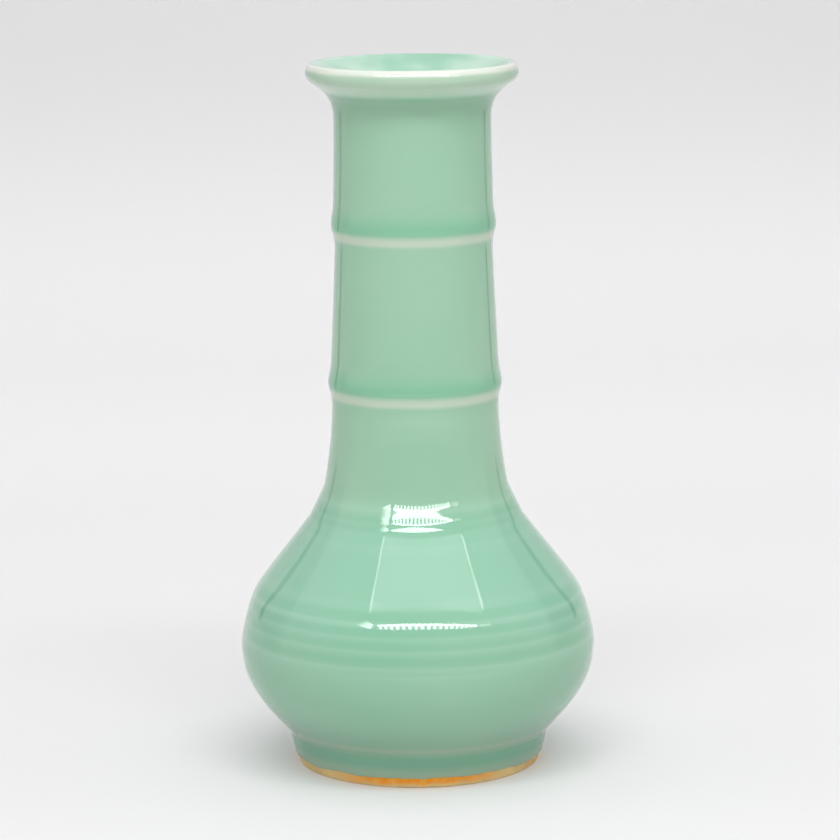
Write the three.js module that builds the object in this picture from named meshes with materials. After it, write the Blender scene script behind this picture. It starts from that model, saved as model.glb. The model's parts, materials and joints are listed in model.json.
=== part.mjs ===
// A flower vase for the tea room: a round bulb on a foot ring, a long neck with two bamboo
// nodes, and a flared lip. The clay is thrown in sections that stand in stepped seats and are
// luted together with slip. Then the vase is glazed inside, outside and under the foot.
// Millimetres, +Z up. The origin is on the axis, at the level of the table.

import * as THREE from 'three';

// The height to the crest of the lip, and the stretches of the glazed outline from the table up.
// The two plain stretches of the neck share what the others leave.
const HEIGHT = 220;
const FOOT_HEIGHT = 10.6;
const UNDERBELLY_RISE = 26.8;
const BELLY_BAND_RISE = 18.0;
const LOWER_SHOULDER_RISE = 14.6;
const UPPER_SHOULDER_RISE = 8.4;
const COLLAR_RISE = 6.6;
const NECK_FLARE_RISE = 5.0;
const NECK_CONE_RISE = 23.7;
const NODE_UNDERSIDE_RISE = 6.9;
const NODE_BACK_RISE = 8.7;
const MIDDLE_NECK_SHARE = 0.574;
const LIP_FLARE_RISE = 12.9;
const LIP_ROLL_RISE = 3.5;

// Radii of the glazed outline, and how far it swells or draws in from them
const FOOT_RADIUS = 38.5;
const FOOT_FLARE = 2.25;
const BELLY_RADIUS = 55.5;
const BELLY_BAND_INSET = 4.7;
const SHOULDER_RADIUS = 39.8;
const COLLAR_RADIUS = 33.4;
const COLLAR_TAPER = 3.2;
const NECK_RADIUS = 26.0;
const NECK_CONE_FLARE = 2.4;
const NODE_PROUD = 1.1;
const MIDDLE_NECK_TAPER = 1.5;
const UPPER_NECK_STEP = 0.25;
const UPPER_NECK_TAPER = 0.35;
const LIP_OVERHANG = 8.45;
const LIP_ROLL_INSET = 1.9;

// Directions of the outline on its way up, in degrees: 0 is level and outward, 90 is upright
const UNDERBELLY_HEADING = 48.5;
const BAND_TOP_HEADING = 120;
const SHOULDER_HEADING = 128.4;
const COLLAR_FOOT_HEADING = 120.5;
const COLLAR_TOP_HEADING = 115.8;
const FLARE_TOP_HEADING = 99.7;
const UPRIGHT = 90;
const OVER_THE_CREST = 180;
const UP_TO_THE_CREST = 30;

// Turned lines: a band of them on the belly, whose lowest one hides a seam, and one on the collar.
// They are cut into the clay, and the glaze nearly fills them.
const LINE_DEPTH = 0.2;
const GLAZED_LINE_DEPTH = 0.06;
const BELLY_LINES = 4;
const BELLY_LINE_WIDTH = 2.6;
const BELLY_LINE_PITCH = 4.0;
const BELLY_LINES_ABOVE_WIDEST = 6.4;
const COLLAR_LINE_WIDTH = 1.2;
const COLLAR_LINE_ABOVE_FOOT = 3.2;

// Thicknesses of the clay, the glaze and the slip, and the seats between the sections
const WALL = 4.6;
const FLOOR = 6.3;
const GLAZE = 0.8;
const SLIP = 0.3;
const SEAT_DEPTH = 3.0;

// The foot: its ring, the chamfer on its edge and the bare clay below the glaze
const FOOT_RING_WIDTH = 6.7;
const FOOT_CHAMFER = 0.6;
const BARE_FOOT_HEIGHT = 3.5;

// Facets around the axis, and along each stretch where a radius is looked up
const FACETS_AROUND = 32;
const FINE_STEPS = 24;

// Heights of the knots of the outline
const footTop = FOOT_HEIGHT;
const widest = footTop + UNDERBELLY_RISE;
const bandTop = widest + BELLY_BAND_RISE;
const shoulder = bandTop + LOWER_SHOULDER_RISE;
const collarFoot = shoulder + UPPER_SHOULDER_RISE;
const collarTop = collarFoot + COLLAR_RISE;
const flareTop = collarTop + NECK_FLARE_RISE;
const lowerRoot = flareTop + NECK_CONE_RISE;
const lowerNode = lowerRoot + NODE_UNDERSIDE_RISE;
const middleNeck = lowerNode + NODE_BACK_RISE;
const crest = HEIGHT;
const lipEdge = crest - LIP_ROLL_RISE;
const lipRoot = lipEdge - LIP_FLARE_RISE;
const nodeRise = NODE_UNDERSIDE_RISE + NODE_BACK_RISE;
const upperRoot = middleNeck + (lipRoot - middleNeck - nodeRise) * MIDDLE_NECK_SHARE;
const upperNode = upperRoot + NODE_UNDERSIDE_RISE;
const upperNeck = upperRoot + nodeRise;

// Radii of the knots
const footTopRadius = FOOT_RADIUS + FOOT_FLARE;
const bandTopRadius = BELLY_RADIUS - BELLY_BAND_INSET;
const collarTopRadius = COLLAR_RADIUS - COLLAR_TAPER;
const flareTopRadius = NECK_RADIUS + NECK_CONE_FLARE;
const upperRootRadius = NECK_RADIUS - MIDDLE_NECK_TAPER;
const upperNeckRadius = upperRootRadius + UPPER_NECK_STEP;
const lipRootRadius = upperNeckRadius - UPPER_NECK_TAPER;
const lipRadius = lipRootRadius + LIP_OVERHANG;
const crestRadius = lipRadius - LIP_ROLL_INSET;
const wellRadius = FOOT_RADIUS - FOOT_RING_WIDTH;

const point = (radius, height) => new THREE.Vector2(radius, height);

// A knot of the outline: the direction in which the outline passes it, how far the curves below
// and above it are pulled along that direction, as shares of their chords, and the facets of
// the curve below it.
function knot(radius, height, heading, { below = 0, above = 0, facets = 1 } = {}) {
  const angle = THREE.MathUtils.degToRad(heading);
  const along = point(Math.cos(angle), Math.sin(angle));
  return { at: point(radius, height), along, below, above, facets };
}

// The same knot, sunk below the surface
function sunk(outer, depth) {
  const inward = point(-outer.along.y, outer.along.x);
  return { ...outer, at: outer.at.clone().addScaledVector(inward, depth) };
}

// The curve from one knot to the next
function stretch(from, to) {
  const chord = from.at.distanceTo(to.at);
  const leaving = from.at.clone().addScaledVector(from.along, from.above * chord);
  const arriving = to.at.clone().addScaledVector(to.along, -to.below * chord);
  return new THREE.CubicBezierCurve(from.at, leaving, arriving, to.at);
}

// Points along a chain of knots, with each curve in its own number of facets or in fixed steps
function sampled(knots, steps) {
  const points = [knots[0].at];
  for (let i = 1; i < knots.length; i += 1) {
    const curve = stretch(knots[i - 1], knots[i]);
    points.push(...curve.getPoints(steps ?? knots[i].facets).slice(1));
  }
  return points;
}

// The radius of an outline at a height, on the straight line between its points
function radiusAt(outline, height) {
  const next = outline.findIndex((p, i) => i > 0 && p.y >= height);
  const [low, high] = [outline[next - 1], outline[next]];
  return low.x + ((high.x - low.x) * (height - low.y)) / (high.y - low.y);
}

// Turns a line into an outline, in place of its own points there
function scored(outline, smooth, { height, width }, depth) {
  const [low, high] = [height - width / 2, height + width / 2];
  const below = outline.filter((p) => p.y < low);
  const above = outline.filter((p) => p.y > high);
  const line = [
    point(radiusAt(smooth, low), low),
    point(radiusAt(smooth, height) - depth, height),
    point(radiusAt(smooth, high), high),
  ];
  return [...below, ...line, ...above];
}

// Knots of the glazed outside
const belly = knot(BELLY_RADIUS, widest, UPRIGHT, { below: 0.41, above: 0.29, facets: 5 });
const band = knot(bandTopRadius, bandTop, BAND_TOP_HEADING, { below: 0.21, above: 0.21, facets: 6 });
const slope = knot(SHOULDER_RADIUS, shoulder, SHOULDER_HEADING, { below: 0.28, above: 0.28, facets: 4 });
const collar = knot(COLLAR_RADIUS, collarFoot, COLLAR_FOOT_HEADING, { facets: 2 });
const flare = knot(flareTopRadius, flareTop, FLARE_TOP_HEADING, { below: 0.44, above: 0.25, facets: 3 });
const coneTop = knot(NECK_RADIUS, lowerRoot, UPRIGHT, { below: 0.33, above: 0.55, facets: 3 });
const neckTop = knot(upperRootRadius, upperRoot, UPRIGHT, { above: 0.55 });
const lipFoot = knot(lipRootRadius, lipRoot, UPRIGHT, { above: 0.57 });
const corner = knot(footTopRadius, footTop, UNDERBELLY_HEADING, { above: 0.29 });
const top = knot(crestRadius, crest, OVER_THE_CREST, { below: 0.35, facets: 3 });
const nodeEdge = { below: 0.3, above: 0.25, facets: 3 };
const nodeBack = { below: 0.45, facets: 3 };
const outsideKnots = [
  knot(FOOT_RADIUS, 0, UPRIGHT),
  corner,
  belly,
  band,
  slope,
  collar,
  knot(collarTopRadius, collarTop, COLLAR_TOP_HEADING, { above: 0.22 }),
  flare,
  coneTop,
  knot(NECK_RADIUS + NODE_PROUD, lowerNode, UPRIGHT, nodeEdge),
  knot(NECK_RADIUS, middleNeck, UPRIGHT, nodeBack),
  neckTop,
  knot(upperRootRadius + NODE_PROUD, upperNode, UPRIGHT, nodeEdge),
  knot(upperNeckRadius, upperNeck, UPRIGHT, nodeBack),
  lipFoot,
  knot(lipRadius, lipEdge, UPRIGHT, { below: 0.2, above: 0.35, facets: 5 }),
  top,
];

// The turned lines
const bellyLine = widest + BELLY_LINES_ABOVE_WIDEST;
const lines = [{ height: collarFoot + COLLAR_LINE_ABOVE_FOOT, width: COLLAR_LINE_WIDTH }];
for (let i = 0; i < BELLY_LINES; i += 1) {
  lines.push({ height: bellyLine + i * BELLY_LINE_PITCH, width: BELLY_LINE_WIDTH });
}

// The outside of the glaze, or of the clay at a depth below it, with its turned lines
function outside(depth, lineDepth) {
  const knots = outsideKnots.map((k) => sunk(k, depth));
  const smooth = sampled(knots, FINE_STEPS);
  return lines.reduce((outline, line) => scored(outline, smooth, line, lineDepth), sampled(knots));
}

// The inside of the clay, or of the glaze on it: its floor is flat, and the neck has no nodes.
// It follows these knots of the outside, each with the facets of the curve below it.
const footUnderside = footTop - SEAT_DEPTH + SLIP;
const floorTop = footUnderside + FLOOR;
const insideKnots = [
  { knot: belly, facets: 3 },
  { knot: band, facets: 2 },
  { knot: slope, facets: 3 },
  { knot: collar, facets: 1 },
  { knot: flare, facets: 2 },
  { knot: coneTop, facets: 2 },
  { knot: neckTop, facets: 1 },
  { knot: lipFoot, facets: 1 },
];

function inside(cover) {
  const depth = GLAZE + WALL + cover;
  const floorEdge = sunk(corner, depth);
  floorEdge.at.y = floorTop + cover;
  const walls = insideKnots.map(({ knot: outer, facets }) => ({ ...sunk(outer, depth), facets }));
  const rim = knot(crestRadius, crest - GLAZE + cover, UP_TO_THE_CREST, { below: 0.35, facets: 4 });
  return sampled([floorEdge, ...walls, rim]);
}

const glazedOutside = outside(0, GLAZED_LINE_DEPTH);
const clayOutside = outside(GLAZE, LINE_DEPTH);
const clayInside = inside(0);
const liningInside = inside(GLAZE);

// A stepped seat between two sections. The upper one stands inside the lower one's rim, with a
// film of slip between them.
function seatAt(height, innerRadius = (level) => radiusAt(clayInside, level)) {
  const ledge = height - SEAT_DEPTH;
  const step = (radiusAt(clayOutside, height) + innerRadius(ledge)) / 2;
  const rim = [
    point(radiusAt(clayOutside, height), height),
    point(step, height),
    point(step, ledge),
    point(innerRadius(ledge), ledge),
  ];
  const spigot = [
    point(innerRadius(ledge + SLIP), ledge + SLIP),
    point(step - SLIP, ledge + SLIP),
    point(step - SLIP, height + SLIP),
    point(radiusAt(clayOutside, height + SLIP), height + SLIP),
  ];
  return { rim, spigot, outer: [height, height + SLIP], inner: [ledge, ledge + SLIP] };
}

const footSeat = seatAt(footTop, () => wellRadius);
const bellySeat = seatAt(bellyLine);
const shoulderSeat = seatAt(collarFoot);
const lowerNodeSeat = seatAt(lowerRoot);
const upperNodeSeat = seatAt(upperRoot);
const lipSeat = seatAt(lipRoot);

// The points of an outline between two heights, on the way up or on the way down
const up = (outline, low, high) => outline.filter((p) => p.y > low && p.y < high);
const down = (outline, low, high) => up(outline, low, high).reverse();
const closed = (points) => [...points, points[0]];

function turned(name, profile, { color, roughness }) {
  const geometry = new THREE.LatheGeometry(profile, FACETS_AROUND);
  geometry.rotateX(Math.PI / 2);
  const material = new THREE.MeshStandardMaterial({ color, roughness, metalness: 0 });
  const mesh = new THREE.Mesh(geometry, material);
  mesh.name = name;
  return mesh;
}

// Finishes
const BARE_CLAY = { color: 0xd9cdb8, roughness: 0.85 };
const BURNT_CLAY = { color: 0xe09a4a, roughness: 0.75 };
const DRY_SLIP = { color: 0xcabfa9, roughness: 0.9 };
const CELADON = { color: 0xa0c8ad, roughness: 0.12 };
const INNER_CELADON = { color: 0xbce5ce, roughness: 0.15 };

// The foot ring, bare and chamfered where it stands on the table
function footRing() {
  const bare = [point(radiusAt(clayOutside, FOOT_CHAMFER), FOOT_CHAMFER)];
  const sole = [point(wellRadius, 0), point(clayOutside[0].x - FOOT_CHAMFER, 0)];
  const wall = up(clayOutside, FOOT_CHAMFER, footSeat.outer[0]);
  return turned('foot_ring', closed([...sole, ...bare, ...wall, ...footSeat.rim]), BURNT_CLAY);
}

// The lower half of the bulb, with the floor and the boss that sits in the foot ring
function lowerBulb() {
  const wall = up(clayOutside, footSeat.outer[1], bellySeat.outer[0]);
  const hollow = down(clayInside, floorTop, bellySeat.inner[0]);
  const profile = [
    point(0, footUnderside),
    ...footSeat.spigot,
    ...wall,
    ...bellySeat.rim,
    ...hollow,
    clayInside[0],
    point(0, floorTop),
  ];
  return turned('lower_bulb', profile, BARE_CLAY);
}

// A section of the wall that stands in one seat and carries the next
function wallSection(name, lower, upper) {
  const wall = up(clayOutside, lower.outer[1], upper.outer[0]);
  const hollow = down(clayInside, lower.inner[1], upper.inner[0]);
  return turned(name, closed([...lower.spigot, ...wall, ...upper.rim, ...hollow]), BARE_CLAY);
}

// The lip, which ends at its crest
function mouthLip() {
  const wall = up(clayOutside, lipSeat.outer[1], Infinity);
  const hollow = down(clayInside, lipSeat.inner[1], clayInside.at(-1).y);
  return turned('mouth_lip', closed([...lipSeat.spigot, ...wall, ...hollow]), BARE_CLAY);
}

// The film of slip in a seat
function luting(name, { rim, spigot }) {
  return turned(name, closed([...rim].reverse().concat([...spigot].reverse())), DRY_SLIP);
}

// The glaze on the outside, from the bare foot up to the crest of the lip
function outerGlaze() {
  const edgeOf = (outline) => point(radiusAt(outline, BARE_FOOT_HEIGHT), BARE_FOOT_HEIGHT);
  const surface = up(glazedOutside, BARE_FOOT_HEIGHT, Infinity);
  const bond = down(clayOutside, BARE_FOOT_HEIGHT, Infinity);
  const profile = [edgeOf(clayOutside), edgeOf(glazedOutside), ...surface, ...bond];
  return turned('outer_glaze', closed(profile), CELADON);
}

// The glaze on the inside, from the crest of the lip down to the floor
function innerGlaze() {
  const surface = [...liningInside].reverse();
  const profile = [point(0, floorTop), ...clayInside, ...surface, point(0, floorTop + GLAZE)];
  return turned('inner_glaze', profile, INNER_CELADON);
}

// The glaze in the well of the foot ring
function footWellGlaze() {
  const profile = [
    point(0, footUnderside - GLAZE),
    point(wellRadius - GLAZE, footUnderside - GLAZE),
    point(wellRadius - GLAZE, BARE_FOOT_HEIGHT),
    point(wellRadius, BARE_FOOT_HEIGHT),
    point(wellRadius, footUnderside),
    point(0, footUnderside),
  ];
  return turned('foot_well_glaze', profile, CELADON);
}

const vase = new THREE.Group();
vase.name = 'tea_vase';
vase.add(
  footRing(),
  lowerBulb(),
  wallSection('upper_bulb', bellySeat, shoulderSeat),
  wallSection('neck_root', shoulderSeat, lowerNodeSeat),
  wallSection('neck_middle', lowerNodeSeat, upperNodeSeat),
  wallSection('neck_upper', upperNodeSeat, lipSeat),
  mouthLip(),
  luting('foot_luting', footSeat),
  luting('belly_luting', bellySeat),
  luting('shoulder_luting', shoulderSeat),
  luting('lower_node_luting', lowerNodeSeat),
  luting('upper_node_luting', upperNodeSeat),
  luting('lip_luting', lipSeat),
  outerGlaze(),
  innerGlaze(),
  footWellGlaze(),
);

export default vase;
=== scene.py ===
"""A celadon flower vase with a round bulb and a bamboo-node neck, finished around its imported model."""

import json
from math import atan2, ceil, copysign, cos, exp, pi, radians, sin, tau

import bmesh
import bpy
from mathutils import Matrix, Vector
from mathutils.geometry import interpolate_bezier, intersect_line_line_2d
from mathutils.noise import noise


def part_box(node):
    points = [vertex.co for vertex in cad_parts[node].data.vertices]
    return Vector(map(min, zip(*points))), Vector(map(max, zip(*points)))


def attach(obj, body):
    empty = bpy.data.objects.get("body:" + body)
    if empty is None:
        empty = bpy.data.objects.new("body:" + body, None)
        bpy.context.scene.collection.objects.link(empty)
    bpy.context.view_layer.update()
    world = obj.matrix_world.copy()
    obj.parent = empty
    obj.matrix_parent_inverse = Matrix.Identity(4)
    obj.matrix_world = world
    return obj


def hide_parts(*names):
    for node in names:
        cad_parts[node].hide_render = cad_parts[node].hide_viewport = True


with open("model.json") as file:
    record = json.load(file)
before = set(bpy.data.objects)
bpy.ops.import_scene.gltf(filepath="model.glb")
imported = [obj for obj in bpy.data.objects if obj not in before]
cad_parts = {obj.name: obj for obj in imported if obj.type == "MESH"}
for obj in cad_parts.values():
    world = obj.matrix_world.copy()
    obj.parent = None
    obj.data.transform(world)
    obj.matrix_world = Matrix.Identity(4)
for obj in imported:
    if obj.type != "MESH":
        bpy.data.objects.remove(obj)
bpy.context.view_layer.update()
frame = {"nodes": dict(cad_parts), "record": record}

MM = 0.001

# How finely the turned pieces are made
STEPS_AROUND = 192
BEND_PER_STEP = radians(4)
LENGTH_PER_STEP = 2.0 * MM
HANDLES_PER_CHORD = 3
CORNER = radians(40)
SHARP = radians(45)
WELD = 0.001 * MM
RING_SEARCH = 0.01 * MM
ROUNDING_STEPS = 4

# How far through a coat its other side is looked for, and how far along it thicknesses are compared
COAT_SEARCH = 1.4 * MM
COAT_SOFTENING = 0.9 * MM
COAT_REACH = 3.0 * MM
REACHES_AVERAGED = 2


# Outlines of the turned pieces

def section_of(node):
    """The section of a turned node: its points in order, at y = 0, and whether they close a loop."""
    section = bmesh.new()
    section.from_mesh(frame["nodes"][node].data)
    bmesh.ops.remove_doubles(section, verts=section.verts, dist=WELD)
    elsewhere = [v for v in section.verts if abs(v.co.y) > WELD or v.co.x < -WELD]
    bmesh.ops.delete(section, geom=elsewhere, context="VERTS")
    ends = [v for v in section.verts if len(v.link_edges) == 1]
    path = [min(ends or section.verts, key=lambda v: v.co.z)]
    while True:
        joined = [e.other_vert(path[-1]) for e in path[-1].link_edges]
        onward = [v for v in joined if v not in path]
        if not onward:
            break
        path.append(onward[0])
    points = [v.co.copy() for v in path]
    section.free()
    return points, not ends


def smoothed(points, closed, kept_corners=()):
    """A finer outline on a curve through the points. Sharp corners stay, and those at the kept heights."""
    count = len(points)
    top = max(p.z for p in points)

    def chord(i):
        return points[(i + 1) % count] - points[i % count]

    def is_corner(i):
        if not closed and i % count in (0, count - 1):
            return True
        kept = any(abs(points[i % count].z - height) < WELD for height in kept_corners)
        return kept or chord(i - 1).angle(chord(i)) > CORNER

    def heading(i, span):
        """The direction of the outline at a point, on one of the two spans that meet there."""
        if not is_corner(i):
            return (points[(i + 1) % count] - points[(i - 1) % count]).normalized()
        along = chord(span).normalized()
        if points[i % count].z > top - WELD and abs(along.x) > abs(along.z):
            return Vector((copysign(1, along.x), 0, 0))
        far = span + 1 if i == span else span
        if is_corner(far):
            return along
        return along * (2 * along.dot(heading(far, span))) - heading(far, span)

    outline = []
    for i in range(count if closed else count - 1):
        start, end = points[i], points[(i + 1) % count]
        pull = chord(i).length / HANDLES_PER_CHORD
        leaving, arriving = heading(i, i), heading(i + 1, i)
        bends = ceil(leaving.angle(arriving) / BEND_PER_STEP)
        lengths = ceil(chord(i).length / LENGTH_PER_STEP)
        steps = max(bends, lengths)
        curve = interpolate_bezier(start, start + leaving * pull, end - arriving * pull, end, steps + 1)
        outline += [Vector(p) for p in curve[:-1]]
    return outline if closed else outline + [points[-1]]


def coat_of(outline):
    """How thick a turned coat is behind each point of its outline."""
    count = len(outline)
    turning = sum(p.x * q.z - q.x * p.z for p, q in zip(outline, outline[1:] + outline[:1]))
    coat = []
    for i, here in enumerate(outline):
        along = (outline[(i + 1) % count] - outline[i - 1]).normalized()
        inward = Vector((-along.z, 0, along.x)) * copysign(1, turning)
        far = here + inward * COAT_SEARCH
        thickness = COAT_SEARCH
        for j in range(count):
            start, end = outline[j], outline[(j + 1) % count]
            met = intersect_line_line_2d(here.xz, far.xz, start.xz, end.xz)
            if met and (met - here.xz).length > WELD:
                thickness = min(thickness, (met - here.xz).length)
        coat.append(thickness)
    return coat


def levelled(outline, values, reach):
    """Values along a closed outline, each averaged with those around it, less and less over a reach."""
    count = len(outline)
    lengths = [(outline[(i + 1) % count] - outline[i]).length for i in range(count)]
    level = []
    for i in range(count):
        total, weights = 0.0, 0.0
        for step in (1, -1):
            j, gone = i, 0.0
            while gone < REACHES_AVERAGED * reach:
                ahead = lengths[j] if step > 0 else lengths[j - 1]
                onward = (j + step) % count
                weight = exp(-((gone + ahead / 2) / reach) ** 2) * ahead
                total += (values[j] + values[onward]) / 2 * weight
                weights += weight
                gone += ahead
                j = onward
        level.append(total / weights)
    return level


def unevenness(outline):
    """How much thicker a coat is at each point of its outline than in the stretch around it."""
    coat = coat_of(outline)
    near = levelled(outline, coat, COAT_SOFTENING)
    around = levelled(outline, coat, COAT_REACH)
    return [here - level for here, level in zip(near, around)]


def turned(node, kept_corners=(), is_coat=False):
    """A node's outline, made finer and spun round the axis. A coat's points keep how uneven it is."""
    points, closed = section_of(node)
    outline = smoothed(points, closed, kept_corners)
    shape = bmesh.new()
    gathering = shape.verts.layers.float.new("gathering")
    verts = [shape.verts.new(p) for p in outline]
    if is_coat:
        for vert, uneven in zip(verts, unevenness(outline)):
            vert[gathering] = uneven
    edges = [shape.edges.new(pair) for pair in zip(verts, verts[1:])]
    if closed:
        edges.append(shape.edges.new((verts[-1], verts[0])))
    bmesh.ops.spin(shape, geom=verts + edges, axis=(0, 0, 1), angle=tau, steps=STEPS_AROUND, use_merge=True)
    bmesh.ops.remove_doubles(shape, verts=shape.verts, dist=WELD)
    bmesh.ops.recalc_face_normals(shape, faces=shape.faces)
    return shape


def rounded(shape, height, radius, width):
    """Rounds the ring edge of a turned shape at a height and a radius."""
    def on_ring(vert):
        return abs(vert.co.z - height) < RING_SEARCH and abs(vert.co.xy.length - radius) < RING_SEARCH

    ring = [e for e in shape.edges if all(on_ring(v) for v in e.verts)]
    bmesh.ops.bevel(
        shape, geom=ring, offset=width, offset_type="OFFSET", affect="EDGES",
        segments=ROUNDING_STEPS, profile=0.5, material=-1,
    )


def piece(name, shape, material, node):
    """A finished piece that stands for a node and takes one of the record's finishes."""
    bmesh.ops.recalc_face_normals(shape, faces=shape.faces)
    mesh = bpy.data.meshes.new(name)
    shape.to_mesh(mesh)
    shape.free()
    mesh.shade_smooth()
    mesh.set_sharp_from_angle(angle=SHARP)
    mesh.materials.append(material)
    made = bpy.data.objects.new(name, mesh)
    bpy.context.scene.collection.objects.link(made)
    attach(made, "root")
    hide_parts(node)


# Places that the finish follows, all from the frame

NODE_SEARCH = 20 * MM
COLLAR_POINTS = 5
glaze_outline = section_of("outer_glaze")[0]


def widest_above(node):
    """The height at which the glazed outside is widest, a little above a node's top."""
    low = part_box(node)[1].z
    near = [p for p in glaze_outline if low < p.z < low + NODE_SEARCH]
    return max(near, key=lambda p: p.x).z


def radius_at(height):
    """The radius of the glazed outside at one of its points' heights."""
    return max(p.x for p in glaze_outline if abs(p.z - height) < WELD)


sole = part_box("foot_ring")[0].z
foot_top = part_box("foot_ring")[1].z
glaze_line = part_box("outer_glaze")[0].z
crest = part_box("outer_glaze")[1].z
lower_node = widest_above("neck_root")
upper_node = widest_above("neck_middle")
widest = max(glaze_outline, key=lambda p: p.x).z
line_radius = radius_at(glaze_line)
corner_radius = radius_at(foot_top)
foot_slope = (corner_radius - line_radius) / (foot_top - glaze_line)
crest_radius = max(glaze_outline, key=lambda p: p.z).x

# The collar is a straight cone, so its outer points stay corners
collar_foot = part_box("upper_bulb")[1].z
collar = [p.z for p in glaze_outline if p.z > collar_foot - WELD][:COLLAR_POINTS]

# How unevenly the glaze ends above the sole
FRONT = -pi / 2
EDGE_DIP = 0.6 * MM
EDGE_DROP = 0.35 * MM
EDGE_WAVES = 0.7 * MM
EDGE_WAVES_ROUND = 3.0
EDGE_RIPPLE = 0.3 * MM
EDGE_RIPPLE_ROUND = 14.0


def glaze_edge(place):
    """How far the glaze's edge lies above or below its line, at a place round the foot."""
    angle = atan2(place.y, place.x)
    around = Vector((cos(angle), sin(angle), 0))
    dip = EDGE_DIP * (1 - cos(angle - FRONT)) / 2
    waves = noise(around * EDGE_WAVES_ROUND) * EDGE_WAVES
    ripple = noise(around * EDGE_RIPPLE_ROUND) * EDGE_RIPPLE
    return waves + ripple - dip - EDGE_DROP


def run_down(shape):
    """Lets the glaze end unevenly on the foot."""
    for vert in shape.verts:
        share = (foot_top - vert.co.z) / (foot_top - glaze_line)
        if share > 0:
            run = glaze_edge(vert.co) * share
            outward = vert.co.xy.normalized() * foot_slope
            vert.co += Vector((outward.x, outward.y, 1)) * run


def mark_bare(shape):
    """Gives the bare foot's points their depth below the edge of the glaze."""
    depth = shape.verts.layers.float.new("below_glaze")
    for vert in shape.verts:
        vert[depth] = glaze_line + glaze_edge(vert.co) - vert.co.z


# Shader nodes

WHITE = (1, 1, 1, 1)
NOISE_MIDDLE = 0.5

# Sockets of a Mix node that mixes colours
MIX_FACTOR = 0
MIX_FIRST = 6
MIX_SECOND = 7
MIX_RESULT = 2


def add(tree, kind, inputs=None, **options):
    """A shader node with its options set, and its inputs given values or other nodes' outputs."""
    made = tree.nodes.new("ShaderNode" + kind)
    for option, value in options.items():
        setattr(made, option, value)
    for socket, value in (inputs or {}).items():
        if isinstance(value, bpy.types.NodeSocket):
            tree.links.new(value, made.inputs[socket])
        else:
            made.inputs[socket].default_value = value
    return made


def math(tree, operation, first, second=0.0):
    """The result of a sum on one or two values."""
    return add(tree, "Math", {0: first, 1: second}, operation=operation).outputs[0]


def both(tree, first, second):
    """Where two masks overlap."""
    return math(tree, "MULTIPLY", first, second)


def largest(tree, first, *others):
    """The largest of some values."""
    for other in others:
        first = math(tree, "MAXIMUM", first, other)
    return first


def ramp(tree, value, low, high, to_low=0.0, to_high=1.0):
    """A value eased from one range to another."""
    inputs = {"Value": value, "From Min": low, "From Max": high, "To Min": to_low, "To Max": to_high}
    return add(tree, "MapRange", inputs, interpolation_type="SMOOTHSTEP").outputs["Result"]


def mixed(tree, factor, first, second):
    """A colour between two colours."""
    inputs = {MIX_FACTOR: factor, MIX_FIRST: first, MIX_SECOND: second}
    return add(tree, "Mix", inputs, data_type="RGBA").outputs[MIX_RESULT]


def clouds(tree, place, scale, detail=2.0):
    """Soft noise around one half."""
    return add(tree, "TexNoise", {"Vector": place, "Scale": scale, "Detail": detail}).outputs[0]


def wandering(tree, place, scale, reach):
    """A value that wanders around zero."""
    return math(tree, "MULTIPLY", math(tree, "SUBTRACT", clouds(tree, place, scale), NOISE_MIDDLE), reach)


def attribute(tree, name):
    """A value that the points of a mesh carry."""
    return add(tree, "Attribute", attribute_name=name).outputs["Fac"]


def object_place(tree):
    """The place of a point on its piece."""
    return add(tree, "TexCoord").outputs["Object"]


def axes_of(tree, place):
    """The X, Y and Z of a place."""
    return add(tree, "SeparateXYZ", {0: place}).outputs


def off_axis(tree, place):
    """How far a point is from the axis of the vase."""
    level = add(tree, "VectorMath", {0: place, 1: (1, 1, 0)}, operation="MULTIPLY").outputs[0]
    return add(tree, "VectorMath", {0: level}, operation="LENGTH").outputs["Value"]


def srgb(red, green, blue):
    """A colour written as it looks on a screen, from 0 to 255."""
    shares = [c / 255 for c in (red, green, blue)]
    return (*[s / 12.92 if s <= 0.04045 else ((s + 0.055) / 1.055) ** 2.4 for s in shares], 1.0)


def node_group(name, inputs, outputs):
    """An empty node group with named sockets: its tree, and the nodes for its inputs and outputs."""
    tree = bpy.data.node_groups.new(name, "ShaderNodeTree")
    for in_out, sockets in (("INPUT", inputs), ("OUTPUT", outputs)):
        for socket, kind in sockets.items():
            tree.interface.new_socket(name=socket, in_out=in_out, socket_type="NodeSocket" + kind)
    return tree, tree.nodes.new("NodeGroupInput"), tree.nodes.new("NodeGroupOutput")


def placed(tree, group, inputs):
    """The outputs of a node group that is placed in a material with its own values."""
    return add(tree, "Group", inputs, node_tree=group).outputs


def make_material(name):
    """A material with a Principled shader: its tree and the shader."""
    material = bpy.data.materials.new(name)
    material.use_nodes = True
    return material, material.node_tree, material.node_tree.nodes["Principled BSDF"]


# Node groups

# Where glaze gathers and runs thin at a ledge, as shares of its rise above the edge and its drop below
POOL_ABOVE = (1.0, 0.05)
POOL_BELOW = (-0.45, -0.1)
THIN_FROM = (-0.05, -0.58)
THIN_TO = (-1.0, -0.65)

# The skin of a glaze
BROAD_WAVES = 28.0
FINE_RIPPLE = 230.0
RIPPLE_SHARE = 0.01
SKIN_DETAIL = 1.0
SKIN_DEPTH = 0.1 * MM

# The grain of fired clay
PATCH_SCALE = 160.0
PATCH_DETAIL = 4.0
PATCHES = (0.35, 0.65)
GRAIN_SCALE = 1400.0
GRAIN_DETAIL = 3.0
GRAIN_DEPTH = 0.15 * MM


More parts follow.
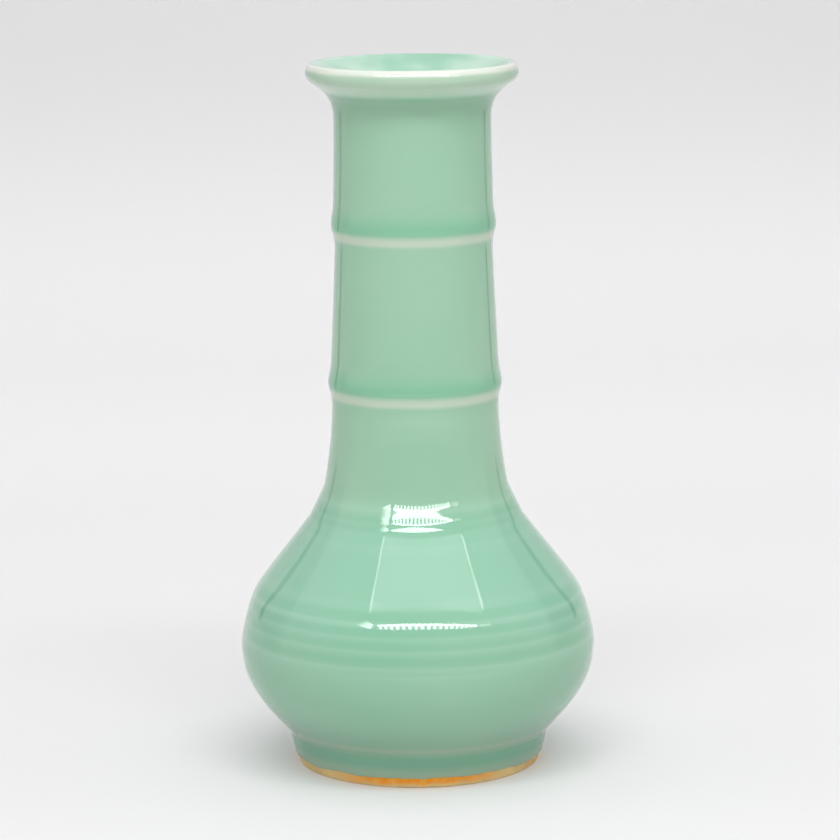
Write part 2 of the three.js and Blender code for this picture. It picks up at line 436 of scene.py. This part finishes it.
def make_ledge():
    """Glaze on a ledge: it gathers above the edge, and runs thin below it."""
    sockets = {"Height": "Float", "Edge": "Float", "Rise": "Float", "Drop": "Float"}
    tree, given, result = node_group("ledge", sockets, {"Pool": "Float", "Thin": "Float"})
    above = math(tree, "SUBTRACT", given.outputs["Height"], given.outputs["Edge"])
    rise = math(tree, "DIVIDE", above, given.outputs["Rise"])
    drop = math(tree, "DIVIDE", above, given.outputs["Drop"])
    pool = both(tree, ramp(tree, rise, *POOL_ABOVE), ramp(tree, drop, *POOL_BELOW))
    thin = both(tree, ramp(tree, drop, *THIN_FROM), ramp(tree, drop, *THIN_TO))
    tree.links.new(pool, result.inputs["Pool"])
    tree.links.new(thin, result.inputs["Thin"])
    return tree


def make_glaze_skin():
    """The surface of a glaze: broad soft waves and a fine ripple."""
    sockets = {"Place": "Vector", "Waves": "Float"}
    tree, given, result = node_group("glaze_skin", sockets, {"Normal": "Vector"})
    broad = clouds(tree, given.outputs["Place"], BROAD_WAVES, SKIN_DETAIL)
    fine = clouds(tree, given.outputs["Place"], FINE_RIPPLE, SKIN_DETAIL)
    waves = math(tree, "MULTIPLY", broad, given.outputs["Waves"])
    height = math(tree, "ADD", waves, math(tree, "MULTIPLY", fine, RIPPLE_SHARE))
    bump = add(tree, "Bump", {"Height": height, "Distance": SKIN_DEPTH, "Strength": 1.0})
    tree.links.new(bump.outputs["Normal"], result.inputs["Normal"])
    return tree


def make_clay_grain():
    """Fired clay: a mottled mask, and a fine grain in the surface."""
    sockets = {"Place": "Vector", "Grain": "Float"}
    tree, given, result = node_group("clay_grain", sockets, {"Mottle": "Float", "Normal": "Vector"})
    patches = clouds(tree, given.outputs["Place"], PATCH_SCALE, PATCH_DETAIL)
    tree.links.new(ramp(tree, patches, *PATCHES), result.inputs["Mottle"])
    grains = clouds(tree, given.outputs["Place"], GRAIN_SCALE, GRAIN_DETAIL)
    height = math(tree, "MULTIPLY", grains, given.outputs["Grain"])
    bump = add(tree, "Bump", {"Height": height, "Distance": GRAIN_DEPTH, "Strength": 1.0})
    tree.links.new(bump.outputs["Normal"], result.inputs["Normal"])
    return tree


ledge = make_ledge()
glaze_skin = make_glaze_skin()
clay_grain = make_clay_grain()

# Colours of the finishes
CELADON = srgb(154, 199, 169)
SHOULDER_CELADON = srgb(144, 200, 171)
BELLY_CELADON = srgb(142, 194, 163)
# Painted shade: the glaze darker low on the bulb, where less light falls
LOW_SHADED_CELADON = srgb(133, 177, 150)
DEEP_CELADON = srgb(134, 194, 160)
# Pooled glaze and painted shade on the foot's top, under the bulb
FOOT_POOL_AND_SHADE_CELADON = srgb(121, 175, 146)
# Painted shadow: the lip's shadow on the neck, darker in all channels alike
LIP_SHADOW_CELADON = srgb(141, 186, 155)
PALE_CELADON = srgb(199, 217, 196)
RIDGE_CELADON = srgb(194, 229, 209)
THIN_CELADON = srgb(153, 182, 157)
# Thin glaze and a painted sheen on the bulb just above the foot
CORNER_SHEEN_AND_THIN_GLAZE = srgb(176, 190, 170)
LIP_CREAM = srgb(231, 237, 225)
# Painted light: the inside glaze kept bright where light falls into the mouth
INNER_LIT_CELADON = srgb(199, 231, 212)
INNER_VARIED = srgb(157, 208, 182)
BURNT_ORANGE = srgb(255, 160, 36)
BURNT_YELLOW = srgb(255, 196, 92)
STRAW_CLAY = srgb(246, 214, 150)
STRAW_SHADE = srgb(234, 200, 136)
PALE_CLAY = srgb(217, 205, 184)
CLAY_SHADE = srgb(196, 182, 158)
SLIP_PALE = srgb(202, 191, 169)
SLIP_SHADE = srgb(178, 166, 143)

# Surfaces of the finishes
GLAZE_IOR = 1.6
GLAZE_WAVES = 0.5
OUTER_ROUGHNESS = 0.04
INNER_ROUGHNESS = 0.07
FOOT_ROUGHNESS = 0.7
CLAY_ROUGHNESS = 0.85
SLIP_ROUGHNESS = 0.9
CLAY_GRAIN = 1.0

# Masks of the outer glaze, from none to full: heights above the collar, the widest place and the foot
SHOULDER = (12.0 * MM, 0.0)
BELLY = (18.0 * MM, 0.0)
# Painted shade low on the bulb: from below the widest place down to just above the foot
LOW_BELOW_WIDEST = 12.0 * MM
LOW_ABOVE_FOOT = 3.0 * MM
LINED = (-4.0 * MM, 2.0 * MM)
# Where glaze pools on the foot's top and painted shade falls under the bulb
FOOT_POOL_AND_SHADE = (0.6 * MM, -1.0 * MM)
LOW_FOOT = (-2.6 * MM, -6.6 * MM)
# Thin glaze and a painted sheen on the bulb just above the foot's corner
CORNER_BELOW = (0.6 * MM, 2.0 * MM)
CORNER_ABOVE = (3.8 * MM, 2.2 * MM)
CORNER_SHARE = 0.35

# The same near the lip: heights above the crest, and how far outside of it
# Painted shadow under the lip: where it starts and where it fades out, by height
LIP_SHADOW_ABOVE = (-7.6 * MM, -9.8 * MM)
LIP_SHADOW_BELOW = (-18.0 * MM, -10.0 * MM)
# Thin glaze and painted light from below on the lip's underside
THIN_AND_LIT_BELOW_LIP = (-9.0 * MM, -7.0 * MM)
THIN_AND_LIT_BELOW_LIP_SHARE = 0.6
LIP_EDGE = (-2.5 * MM, -1.1 * MM)
OFF_CREST = (0.1 * MM, 0.8 * MM)

# The same by how much thicker or thinner the coat is than around it
GROOVE = (-0.01 * MM, 0.05 * MM)
GROOVE_SHARE = 0.6
RIDGE = (0.01 * MM, -0.05 * MM)
RIDGE_SHARE = 0.5

# How the outer glaze wanders from its masks, settles at the nodes and is mottled
WANDER_SCALE = 60.0
WANDER = 0.6 * MM
NODE_RISE = 7.5 * MM
NODE_DROP = 5.0 * MM
MOTTLE_SCALE = 22.0
MOTTLE_DETAIL = 3.0
MOTTLE = (0.3, 0.7)
MOTTLE_SHARE = 0.1

# How the inner glaze is varied
INNER_SCALE = 45.0
INNER_PATCHES = (0.35, 0.65)

# The burnt flash on the bare foot: depths below the glaze, and shares of the foot's radius to the front
FLASH_DEPTH = (2.8 * MM, 1.3 * MM)
FLASH_WANDER = 2.4 * MM
FLASH_WANDER_SCALE = 150.0
FLASH_FRONT = (-0.68, -0.95)
FLASH_SCALE = 30.0
FLASH_PATCHES = (0.55, 0.7)
SPECKLE_SCALE = 420.0
SPECKLE_DETAIL = 3.0
SPECKLE = (0.42, 0.62)
SPECKLE_SHARE = 0.5


def celadon_body(tree, place, settled):
    """The outer glaze's colour from the neck down to the foot, with a faint mottle and painted shade that
    darkens it towards the foot.
    """
    shoulder = ramp(tree, math(tree, "SUBTRACT", settled, collar_foot), *SHOULDER)
    belly = ramp(tree, math(tree, "SUBTRACT", settled, widest), *BELLY)
    # Painted shade, darker towards the foot
    low = ramp(tree, settled, widest - LOW_BELOW_WIDEST, foot_top + LOW_ABOVE_FOOT)
    body = mixed(tree, shoulder, CELADON, SHOULDER_CELADON)
    body = mixed(tree, belly, body, BELLY_CELADON)
    body = mixed(tree, low, body, LOW_SHADED_CELADON)
    mottle = ramp(tree, clouds(tree, place, MOTTLE_SCALE, MOTTLE_DETAIL), *MOTTLE, 0.0, MOTTLE_SHARE)
    return mixed(tree, mottle, body, PALE_CELADON)


def finish_glaze(tree, shader, place, roughness):
    """Gives a glaze its gloss and its gently uneven skin."""
    shader.inputs["Roughness"].default_value = roughness
    shader.inputs["IOR"].default_value = GLAZE_IOR
    skin = placed(tree, glaze_skin, {"Place": place, "Waves": GLAZE_WAVES})
    tree.links.new(skin["Normal"], shader.inputs["Normal"])


def celadon():
    """The glaze outside: deeper where it pools, and pale on the nodes and the lip; painted shadow under the
    lip, painted light on the lip's underside, painted shade low on the bulb and at the foot's top, and a
    painted sheen just above the foot.
    """
    material, tree, shader = make_material("celadon")
    place = object_place(tree)
    wander = wandering(tree, place, WANDER_SCALE, WANDER)
    settled = math(tree, "ADD", axes_of(tree, place)["Z"], wander)
    above_widest = math(tree, "SUBTRACT", settled, widest)
    above_foot = math(tree, "SUBTRACT", settled, foot_top)
    above_crest = math(tree, "SUBTRACT", settled, crest)
    outside_crest = math(tree, "SUBTRACT", off_axis(tree, place), crest_radius)
    gathering = attribute(tree, "gathering")
    pools, thins = [], []
    for edge in (lower_node, upper_node):
        at_node = {"Height": settled, "Edge": edge, "Rise": NODE_RISE, "Drop": NODE_DROP}
        settling = placed(tree, ledge, at_node)
        pools.append(settling["Pool"])
        thins.append(settling["Thin"])
    lined = ramp(tree, above_widest, *LINED)
    groove = both(tree, lined, ramp(tree, gathering, *GROOVE, 0.0, GROOVE_SHARE))
    ridge = both(tree, lined, ramp(tree, gathering, *RIDGE, 0.0, RIDGE_SHARE))
    # Painted shadow of the lip on the neck just under it
    lip_shadow = both(tree, ramp(tree, above_crest, *LIP_SHADOW_ABOVE), ramp(tree, above_crest, *LIP_SHADOW_BELOW))
    # Pale on the lip's underside: thin glaze and painted light from below
    thin_and_lit_below_lip = ramp(tree, above_crest, *THIN_AND_LIT_BELOW_LIP, 0.0, THIN_AND_LIT_BELOW_LIP_SHARE)
    above_corner = ramp(tree, above_foot, *CORNER_ABOVE, 0.0, CORNER_SHARE)
    layers = [
        (largest(tree, groove, *pools), DEEP_CELADON),
        (lip_shadow, LIP_SHADOW_CELADON),
        # Pooled glaze and painted shade on the foot's top
        (ramp(tree, above_foot, *FOOT_POOL_AND_SHADE), FOOT_POOL_AND_SHADE_CELADON),
        (ridge, RIDGE_CELADON),
        (largest(tree, thin_and_lit_below_lip, *thins), PALE_CELADON),
        (ramp(tree, above_foot, *LOW_FOOT), THIN_CELADON),
        # Thin glaze and painted sheen just above the foot's corner
        (both(tree, ramp(tree, above_foot, *CORNER_BELOW), above_corner), CORNER_SHEEN_AND_THIN_GLAZE),
        (both(tree, ramp(tree, outside_crest, *OFF_CREST), ramp(tree, above_crest, *LIP_EDGE)), LIP_CREAM),
    ]
    colour = celadon_body(tree, place, settled)
    for mask, layer in layers:
        colour = mixed(tree, mask, colour, layer)
    tree.links.new(colour, shader.inputs["Base Color"])
    finish_glaze(tree, shader, place, OUTER_ROUGHNESS)
    return material


def inner_celadon():
    """The glaze inside: brighter, with painted light where light falls into the mouth."""
    material, tree, shader = make_material("inner_celadon")
    place = object_place(tree)
    varied = ramp(tree, clouds(tree, place, INNER_SCALE), *INNER_PATCHES)
    tree.links.new(mixed(tree, varied, INNER_LIT_CELADON, INNER_VARIED), shader.inputs["Base Color"])
    finish_glaze(tree, shader, place, INNER_ROUGHNESS)
    return material


def burnt_foot():
    """Bare clay: burnt orange along the glaze line, straw below it and under the sole."""
    material, tree, shader = make_material("burnt_foot")
    place = object_place(tree)
    grain = placed(tree, clay_grain, {"Place": place, "Grain": CLAY_GRAIN})
    wander = wandering(tree, place, FLASH_WANDER_SCALE, FLASH_WANDER)
    below = math(tree, "ADD", attribute(tree, "below_glaze"), wander)
    forward = math(tree, "DIVIDE", axes_of(tree, place)["Y"], line_radius)
    patches = ramp(tree, clouds(tree, place, FLASH_SCALE), *FLASH_PATCHES)
    spread = largest(tree, ramp(tree, forward, *FLASH_FRONT), patches)
    flash = both(tree, ramp(tree, below, *FLASH_DEPTH), spread)
    straw = mixed(tree, grain["Mottle"], STRAW_CLAY, STRAW_SHADE)
    speckle = ramp(tree, clouds(tree, place, SPECKLE_SCALE, SPECKLE_DETAIL), *SPECKLE, 0.0, SPECKLE_SHARE)
    burnt = mixed(tree, speckle, BURNT_ORANGE, BURNT_YELLOW)
    tree.links.new(mixed(tree, flash, straw, burnt), shader.inputs["Base Color"])
    tree.links.new(grain["Normal"], shader.inputs["Normal"])
    shader.inputs["Roughness"].default_value = FOOT_ROUGHNESS
    return material


def bare_clay(name, pale, shade, roughness):
    """Clay or slip under the glaze."""
    material, tree, shader = make_material(name)
    grain = placed(tree, clay_grain, {"Place": object_place(tree), "Grain": CLAY_GRAIN})
    tree.links.new(mixed(tree, grain["Mottle"], pale, shade), shader.inputs["Base Color"])
    tree.links.new(grain["Normal"], shader.inputs["Normal"])
    shader.inputs["Roughness"].default_value = roughness
    return material


# Pieces

finishes = {
    "celadon": celadon(),
    "inner_celadon": inner_celadon(),
    "burnt_foot": burnt_foot(),
    "stoneware": bare_clay("stoneware", PALE_CLAY, CLAY_SHADE, CLAY_ROUGHNESS),
    "slip": bare_clay("slip", SLIP_PALE, SLIP_SHADE, SLIP_ROUGHNESS),
}

CORNER_FILLET = 0.8 * MM
GLAZE_BEAD = 0.6 * MM

outside = turned("outer_glaze", [foot_top, *collar], is_coat=True)
rounded(outside, foot_top, corner_radius, CORNER_FILLET)
rounded(outside, glaze_line, line_radius, GLAZE_BEAD)
run_down(outside)
piece("glaze_outside", outside, finishes["celadon"], "outer_glaze")

piece("glaze_inside", turned("inner_glaze"), finishes["inner_celadon"], "inner_glaze")
piece("glaze_in_foot", turned("foot_well_glaze"), finishes["celadon"], "foot_well_glaze")

bare = turned("foot_ring", [sole])
mark_bare(bare)
piece("bare_foot", bare, finishes["burnt_foot"], "foot_ring")

for subpart in frame["record"]["subparts"]:
    carried = frame["nodes"][subpart["node"]]
    if not carried.hide_render:
        carried.data.materials.clear()
        carried.data.materials.append(finishes[subpart["material_slot"]])

# Studio paper, from the floor up the wall behind the vase. It is lifted for the eye, most at the back.
SWEEP_WIDTH = 10.0
SWEEP_FRONT = -4.0
SWEEP_BACK = 0.75
SWEEP_BEND = 0.25
SWEEP_STEPS = 16
WALL_HEIGHT = 1.6
PAPER = srgb(224, 223, 224)
PAPER_VARIED = srgb(222, 221, 222)
PAPER_SCALE = 1.5
PAPER_DETAIL = 1.0
PAPER_ROUGHNESS = 0.9
FLOOR_LIFT = 0.15
BACK_LIFT = 0.24
BACK = (-0.1, 0.6)
WALL = (0.02, 0.15)
WALL_SHARE = 0.63


def staged(name, shape, material):
    """A thing of the studio, around the vase."""
    mesh = bpy.data.meshes.new(name)
    shape.to_mesh(mesh)
    shape.free()
    mesh.shade_smooth()
    mesh.materials.append(material)
    made = bpy.data.objects.new(name, mesh)
    bpy.context.scene.collection.objects.link(made)
    return made


def make_paper():
    """Pale paper that keeps the shadow, and is clear to an eye behind it."""
    material, tree, shader = make_material("studio_paper")
    place = object_place(tree)
    shade = clouds(tree, place, PAPER_SCALE, PAPER_DETAIL)
    tree.links.new(mixed(tree, shade, PAPER, PAPER_VARIED), shader.inputs["Base Color"])
    shader.inputs["Roughness"].default_value = PAPER_ROUGHNESS
    axes = axes_of(tree, place)
    ray = add(tree, "LightPath").outputs
    seen = largest(tree, ray["Is Camera Ray"], ray["Is Glossy Ray"], ray["Is Transmission Ray"])
    far = ramp(tree, axes["Y"], *BACK, FLOOR_LIFT, BACK_LIFT)
    upright = ramp(tree, axes["Z"], *WALL, 1.0, WALL_SHARE)
    tree.links.new(both(tree, both(tree, far, upright), seen), shader.inputs["Emission Strength"])
    shader.inputs["Emission Color"].default_value = WHITE
    from_behind = both(tree, add(tree, "NewGeometry").outputs["Backfacing"], ray["Is Camera Ray"])
    clear = add(tree, "BsdfTransparent").outputs[0]
    one_sided = add(tree, "MixShader", {0: from_behind, 1: shader.outputs[0], 2: clear}).outputs[0]
    tree.links.new(one_sided, tree.nodes["Material Output"].inputs["Surface"])
    return material


def studio_paper():
    """A sheet of pale paper that runs under the vase and up behind it."""
    shape = bmesh.new()
    front = [shape.verts.new((side * SWEEP_WIDTH / 2, SWEEP_FRONT, 0)) for side in (-1, 1)]
    back = [shape.verts.new((side * SWEEP_WIDTH / 2, SWEEP_BACK, 0)) for side in (-1, 1)]
    shape.faces.new((front[0], front[1], back[1], back[0]))
    fold = shape.edges.get(back)
    turn = {"axis": (1, 0, 0), "angle": pi / 2, "steps": SWEEP_STEPS}
    bend = bmesh.ops.spin(shape, geom=[*back, fold], cent=(0, SWEEP_BACK, SWEEP_BEND), **turn)["geom_last"]
    foot_of_wall = [g for g in bend if isinstance(g, bmesh.types.BMEdge)]
    wall = bmesh.ops.extrude_edge_only(shape, edges=foot_of_wall)["geom"]
    top_of_wall = [g for g in wall if isinstance(g, bmesh.types.BMVert)]
    bmesh.ops.translate(shape, verts=top_of_wall, vec=(0, 0, WALL_HEIGHT))
    shape.normal_update()
    turned_away = [f for f in shape.faces if f.normal.z < -WELD or f.normal.y > WELD]
    bmesh.ops.reverse_faces(shape, faces=turned_away)
    staged("studio_paper", shape, make_paper())


studio_paper()

# A roof card over the vase, with its corners as shares of its rise, and a bright rail along each side
ROOF_RISE = 1.2
ROOF_FROM = 0.07
ROOF_CORNERS = ((-0.64, -0.73), (0.90, -0.585), (0.605, -0.196), (-0.43, -0.30))
ROOF_FADE = (-0.91, -0.62)
ROOF_STRENGTH = 1.9
RAIL_WIDTH = 0.08
RAIL_CORE = 0.15
RAIL_BRIGHTEST = 0.6
RAIL_STRENGTH = 6.5

# A bar of light in front, with a row of lamps along its lower edge, and a strip at each end of it
BAR_FRONT = -1.373
BAR_HEIGHT = 1.155
BAR_LEFT = -0.79
BAR_RIGHT = 1.315
BAR_HALF = 0.14
BAR_LEAN = radians(39)
BAR_STRENGTH = 12.0
BAR_LAMPS = 18
LAMP_PITCH = (BAR_RIGHT - BAR_LEFT) / BAR_LAMPS
LAMP_MIDDLE = 0.5
LAMP_EDGE = (0.32, 0.22)
LAMPS_TO = 0.02
LAMPS_BLEND = 0.012
GAP_STRENGTH = 0.3
LEFT_STRIP = (Vector((-0.9, -1.325, BAR_HEIGHT)), Vector((-1.0, -0.925, BAR_HEIGHT)))
LEFT_STRIP_FADE = (-0.92, -1.2)
LEFT_STRIP_STRENGTH = 9.0
RIGHT_STRIP = (Vector((1.4, -1.35, BAR_HEIGHT)), Vector((1.65, -1.15, BAR_HEIGHT)))
RIGHT_STRIP_STRENGTH = 3.0


def light_material(name):
    """A material that only gives light: its tree and the light."""
    material = bpy.data.materials.new(name)
    material.use_nodes = True
    tree = material.node_tree
    tree.nodes.clear()
    light = add(tree, "Emission")
    add(tree, "OutputMaterial", {"Surface": light.outputs[0]})
    return material, tree, light


def even_light(name, strength):
    """A light that is the same all over."""
    material, _, light = light_material(name)
    light.inputs["Strength"].default_value = strength
    return material


def fading_light(name, strength, dark, bright):
    """A light that fades out along the depth of the studio."""
    material, tree, light = light_material(name)
    depth = axes_of(tree, object_place(tree))["Y"]
    tree.links.new(ramp(tree, depth, dark, bright, 0.0, strength), light.inputs["Strength"])
    return material


def make_rail_light():
    """A light that fades out towards both ends and both sides of a rail."""
    material, tree, light = light_material("rail_light")
    along = attribute(tree, "along")
    sideways = math(tree, "ABSOLUTE", attribute(tree, "across"))
    ends = both(tree, ramp(tree, along, 0.0, RAIL_BRIGHTEST), ramp(tree, along, 1.0, RAIL_BRIGHTEST))
    sides = ramp(tree, sideways, 1.0, RAIL_CORE, 0.0, RAIL_STRENGTH)
    tree.links.new(both(tree, ends, sides), light.inputs["Strength"])
    return material


def make_bar_light():
    """A bar of light with a row of small lamps along its lower edge."""
    material, tree, light = light_material("lamp_bar")
    axes = axes_of(tree, object_place(tree))
    pitches = math(tree, "DIVIDE", math(tree, "SUBTRACT", axes["X"], BAR_LEFT), LAMP_PITCH)
    along_lamp = math(tree, "FRACT", pitches)
    off_middle = math(tree, "ABSOLUTE", math(tree, "SUBTRACT", along_lamp, LAMP_MIDDLE))
    lamps = ramp(tree, off_middle, *LAMP_EDGE, GAP_STRENGTH, BAR_STRENGTH)
    above = math(tree, "SUBTRACT", axes["Z"], BAR_HEIGHT)
    bar = ramp(tree, above, LAMPS_TO - LAMPS_BLEND, LAMPS_TO + LAMPS_BLEND, 0.0, BAR_STRENGTH)
    tree.links.new(largest(tree, lamps, bar), light.inputs["Strength"])
    return material


def mirrored(name, shape, material):
    """A bright card that shows in the glaze, while the soft lamps light the vase."""
    staged(name, shape, material).visible_diffuse = False


def flat(corners):
    """A flat card with the given corners."""
    shape = bmesh.new()
    bmesh.ops.contextual_create(shape, geom=[shape.verts.new(corner) for corner in corners])
    return shape


def rail(front, back):
    """A narrow card along a line. Its corners know their place along it and across it."""
    aside = (back - front).cross(Vector((0, 0, 1))).normalized() * RAIL_WIDTH / 2
    shape = bmesh.new()
    across = shape.verts.layers.float.new("across")
    along = shape.verts.layers.float.new("along")
    corners = []
    for far, side in ((0, -1), (0, 1), (1, 1), (1, -1)):
        vert = shape.verts.new(front.lerp(back, far) + aside * side)
        vert[across] = side
        vert[along] = far
        corners.append(vert)
    bmesh.ops.contextual_create(shape, geom=corners)
    return shape


def strip(start, end):
    """A card along a level line, leaning over the vase."""
    def slant(place):
        inward = -place.xy.normalized().to_3d()
        return (inward * sin(BAR_LEAN) + Vector((0, 0, cos(BAR_LEAN)))) * BAR_HALF

    return flat([start - slant(start), end - slant(end), end + slant(end), start + slant(start)])


def lamp_bar():
    """A card across the front, leaning towards the vase."""
    left = Vector((BAR_LEFT, BAR_FRONT, BAR_HEIGHT))
    right = Vector((BAR_RIGHT, BAR_FRONT, BAR_HEIGHT))
    slant = Vector((0, sin(BAR_LEAN), cos(BAR_LEAN))) * BAR_HALF
    return flat([left - slant, right - slant, right + slant, left + slant])


roof = [Vector((x * ROOF_RISE, y * ROOF_RISE, ROOF_FROM + ROOF_RISE)) for x, y in ROOF_CORNERS]
left_front, right_front, right_back, left_back = roof
staged("roof_light", flat(roof), fading_light("roof_light", ROOF_STRENGTH, *ROOF_FADE))
rail_light = make_rail_light()
mirrored("left_rail", rail(left_front, left_back), rail_light)
mirrored("right_rail", rail(right_front, right_back), rail_light)
mirrored("lamp_bar", lamp_bar(), make_bar_light())
left_strip_light = fading_light("left_strip", LEFT_STRIP_STRENGTH, *LEFT_STRIP_FADE)
mirrored("left_strip", strip(*LEFT_STRIP), left_strip_light)
mirrored("right_strip", strip(*RIGHT_STRIP), even_light("right_strip", RIGHT_STRIP_STRENGTH))

# Soft lamps: a key from above, a fill from the front and a wash on the wall
KEY_PLACE = Vector((0.04, -0.55, 0.95))
KEY_AIM = Vector((0, 0, 0.15))
KEY_SIZE = (0.9, 0.12)
KEY_POWER = 3.9
FILL_PLACE = Vector((0, -1.0, 0.2))
FILL_AIM = Vector((0, 0, 0))
FILL_SIZE = (0.9, 0.08)
FILL_POWER = 2.2
WASH_PLACE = Vector((0, 0.35, 0.95))
WASH_AIM = Vector((0, 1.0, 0.68))
WASH_SIZE = (2.4, 0.3)
WASH_POWER = 3.2


def soft_lamp(name, place, aim, size, power):
    """A soft lamp that shows in no reflection."""
    data = bpy.data.lights.new(name, "AREA")
    data.shape = "RECTANGLE"
    data.size, data.size_y = size
    data.energy = power
    made = bpy.data.objects.new(name, data)
    turn = (aim - place).to_track_quat("-Z", "Y").to_matrix().to_4x4()
    made.matrix_world = Matrix.Translation(place) @ turn
    made.visible_glossy = False
    bpy.context.scene.collection.objects.link(made)


soft_lamp("key", KEY_PLACE, KEY_AIM, KEY_SIZE, KEY_POWER)
soft_lamp("fill", FILL_PLACE, FILL_AIM, FILL_SIZE, FILL_POWER)
soft_lamp("wash", WASH_PLACE, WASH_AIM, WASH_SIZE, WASH_POWER)

# Dark seams at the sides of the studio, which show as thin lines in the glaze
SEAM_SHADE = srgb(40, 44, 42)
SEAM_WEAVE = srgb(52, 56, 54)
SEAM_ROUGHNESS = 1.0
WEAVE_SCALE = 400.0
WEAVE = (0.3, 0.7)
SEAM_SIDE = 0.47
SEAM_BACK = 0.37
SEAM_WIDTH = 0.055
SEAM_FROM = 0.05
SEAM_HEIGHT = 0.7


def seam_cloth():
    """Dark woven cloth."""
    material, tree, shader = make_material("seam_cloth")
    weave = ramp(tree, clouds(tree, object_place(tree), WEAVE_SCALE), *WEAVE)
    tree.links.new(mixed(tree, weave, SEAM_SHADE, SEAM_WEAVE), shader.inputs["Base Color"])
    shader.inputs["Roughness"].default_value = SEAM_ROUGHNESS
    return material


def seam(side):
    """A dark strip that stands beside the vase."""
    foot = Vector((side * SEAM_SIDE, SEAM_BACK, SEAM_FROM))
    aside = Vector((-foot.y, foot.x, 0)).normalized() * SEAM_WIDTH / 2
    top = Vector((0, 0, SEAM_HEIGHT - SEAM_FROM))
    return flat([foot - aside, foot + aside, foot + aside + top, foot - aside + top])


cloth = seam_cloth()
for side in (-1, 1):
    staged("seam", seam(side), cloth)

# The light from all around
SKY_LOW = 0.76
SKY_HIGH = 0.92
SKY_FRONT = 0.3
SKY_TURN = (-0.9, 0.2)


def studio_sky():
    """Soft light from all around, brighter from above and dimmer from the front."""
    world = bpy.data.worlds.new("studio")
    bpy.context.scene.world = world
    world.use_nodes = True
    tree = world.node_tree
    sky = tree.nodes["Background"]
    sky.inputs["Color"].default_value = WHITE
    axes = axes_of(tree, add(tree, "TexCoord").outputs["Generated"])
    upward = ramp(tree, axes["Z"], 0.0, 1.0, SKY_LOW, SKY_HIGH)
    backward = ramp(tree, axes["Y"], *SKY_TURN, SKY_FRONT, 1.0)
    tree.links.new(math(tree, "MULTIPLY", upward, backward), sky.inputs["Strength"])


studio_sky()

# Camera
LENS = 164.55
SENSOR = 36.0
EYE = Vector((1.4, -1179.4, 321.6)) * MM
TILT_DOWN = 0.179
ROLL = radians(-0.6)


def camera():
    """The camera at the photograph's viewing angle."""
    data = bpy.data.cameras.new("camera")
    data.lens = LENS
    data.sensor_width = SENSOR
    made = bpy.data.objects.new("camera", data)
    bpy.context.scene.collection.objects.link(made)
    turn = Matrix.Rotation(pi / 2 - TILT_DOWN, 4, "X") @ Matrix.Rotation(ROLL, 4, "Z")
    made.matrix_world = Matrix.Translation(EYE) @ turn
    bpy.context.scene.camera = made


camera()
bpy.context.scene.view_settings.view_transform = "Standard"
